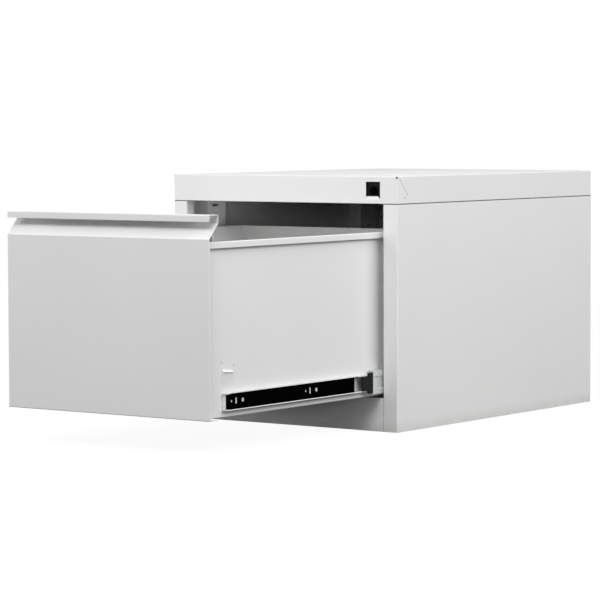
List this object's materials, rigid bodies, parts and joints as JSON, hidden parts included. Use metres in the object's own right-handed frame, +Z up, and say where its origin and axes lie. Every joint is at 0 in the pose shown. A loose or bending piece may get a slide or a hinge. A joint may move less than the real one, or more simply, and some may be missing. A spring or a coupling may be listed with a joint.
{
  "type": "filing cabinet",
  "caption": "Low steel filing cabinet with a deep pull-out drawer on telescopic ball slides, a full-width folded pull and a turning lock.",
  "frame": {"origin": "centre of the cabinet's footprint, on the floor", "axes": "+Z up, -Y towards the front where the drawer opens, +X to the right seen from the front"},
  "size_m": [0.46, 1.0779, 0.415],
  "materials": {
    "white_powder_coat": "fine satin powder coat, white",
    "zinc_steel": "bright zinc plate",
    "ball_steel": "polished",
    "black_plastic": "moulded black",
    "black_lock": "black nickel"
  },
  "bodies": {
    "cabinet": {"back_panel": "white_powder_coat", "back_screws": "zinc_steel", "bottom_tray": "white_powder_coat", "cabinet_slide_member_left": "zinc_steel", "cabinet_slide_member_right": "zinc_steel", "cabinet_slide_screws": "zinc_steel", "cap_screws": "zinc_steel", "front_upright_left": "white_powder_coat", "front_upright_right": "white_powder_coat", "lock_housing": "black_plastic", "rear_upright_left": "white_powder_coat", "rear_upright_right": "white_powder_coat", "side_panel_left": "white_powder_coat", "side_panel_right": "white_powder_coat", "top_cap": "white_powder_coat"},
    "middle_members": {"middle_slide_member_left": "zinc_steel", "middle_slide_member_right": "zinc_steel", "slide_nose_left": "black_plastic", "slide_nose_right": "black_plastic"},
    "drawer": {"drawer_back": "white_powder_coat", "drawer_bottom": "white_powder_coat", "drawer_front": "white_powder_coat", "drawer_front_liner": "white_powder_coat", "drawer_side_left": "white_powder_coat", "drawer_side_right": "white_powder_coat", "drawer_slide_member_left": "zinc_steel", "drawer_slide_member_right": "zinc_steel", "drawer_slide_screws": "zinc_steel"},
    "outer_cages": {"outer_ball_strips_left": "zinc_steel", "outer_ball_strips_right": "zinc_steel", "outer_balls_left": "ball_steel", "outer_balls_right": "ball_steel"},
    "inner_cages": {"inner_ball_strips_left": "zinc_steel", "inner_ball_strips_right": "zinc_steel", "inner_balls_left": "ball_steel", "inner_balls_right": "ball_steel"},
    "lock": {"lock_barrel": "black_lock", "lock_cam": "zinc_steel", "lock_cam_screw": "zinc_steel"}
  },
  "joints": [
    {"name": "middle_slide", "type": "slide", "parent": "cabinet", "child": "middle_members", "axis": [0, -1, 0], "range_m": [-0.1, 0.05]},
    {"name": "drawer_slide", "type": "slide", "parent": "middle_members", "child": "drawer", "axis": [0, -1, 0], "range_m": [-0.357, 0.043]},
    {"name": "outer_cage_roll", "type": "slide", "parent": "cabinet", "child": "outer_cages", "axis": [0, -1, 0], "range_m": [-0.05, 0.025]},
    {"name": "inner_cage_roll", "type": "slide", "parent": "middle_members", "child": "inner_cages", "axis": [0, -1, 0], "range_m": [-0.1785, 0.0215]},
    {"name": "lock_turn", "type": "hinge", "parent": "cabinet", "child": "lock", "pos_m": [0.182, -0.3, 0.3915], "axis": [0, -1, 0], "range_deg": [0, 90]}
  ],
  "couplings": [
    {"joint": "outer_cage_roll", "follows": "middle_slide", "ratio": 0.5},
    {"joint": "inner_cage_roll", "follows": "drawer_slide", "ratio": 0.5}
  ]
}
